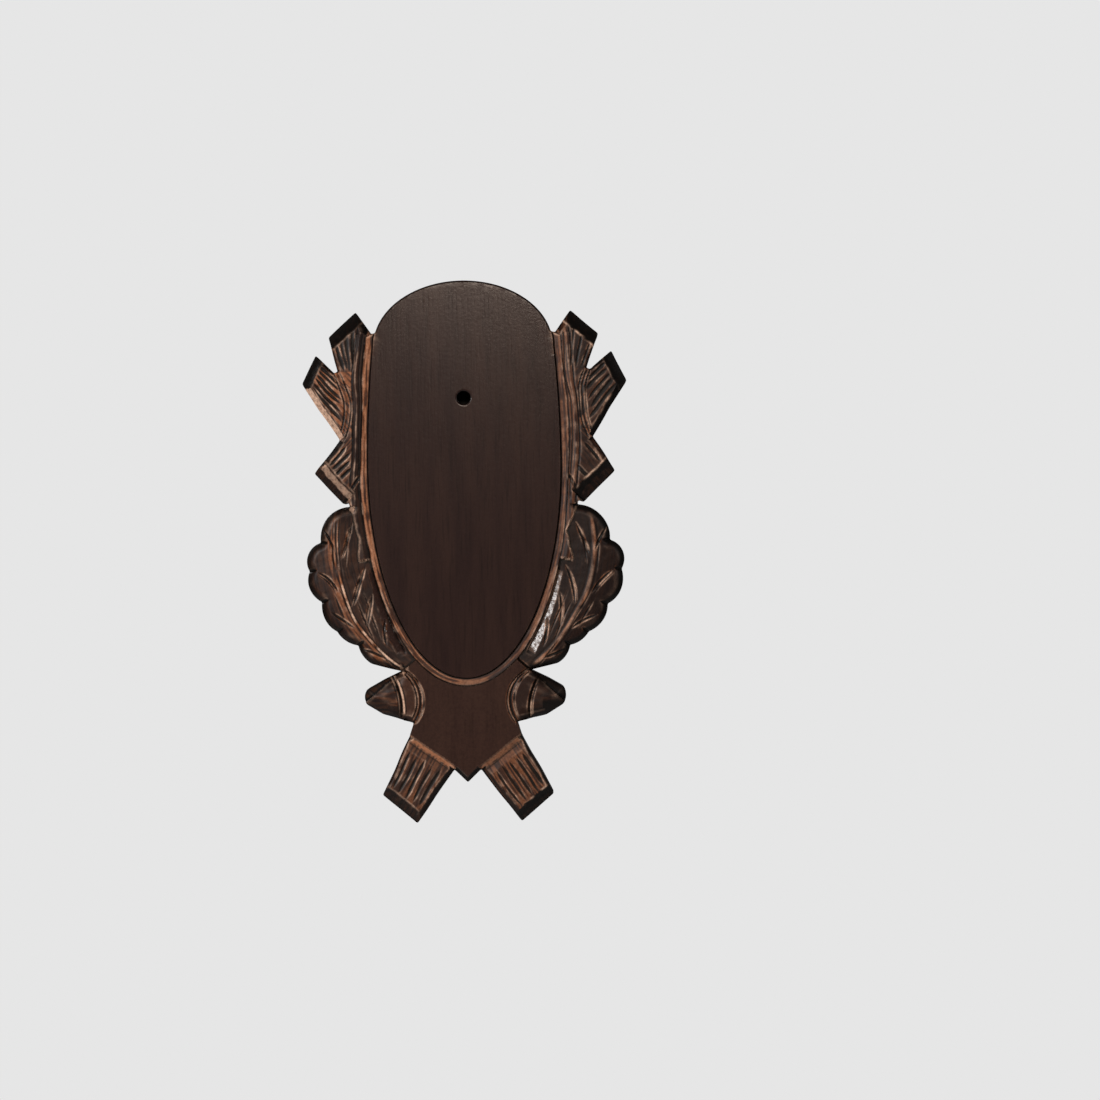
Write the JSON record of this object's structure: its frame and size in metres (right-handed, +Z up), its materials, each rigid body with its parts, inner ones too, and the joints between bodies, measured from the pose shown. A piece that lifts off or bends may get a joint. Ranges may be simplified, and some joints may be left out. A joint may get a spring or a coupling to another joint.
{
  "type": "antler mounting plaque",
  "caption": "Carved oak wall plaque with a flat oval field for a skull or antlers, cut oak branches, oak leaves, acorns and a pointed shield above crossed log feet.",
  "frame": {"origin": "on the flat back of the board, on its axis of symmetry, at the height of the oval field's widest line", "axes": "+X to the viewer's right, +Y into the wall, +Z up; the carved face looks towards -Y"},
  "size_m": [0.15, 0.018, 0.25],
  "materials": {
    "stained_oak": "dark stained oak under a satin lacquer, rubbed through to a warm brown along the cuts"
  },
  "bodies": {
    "root": {"plaque": "stained_oak"}
  },
  "joints": []
}
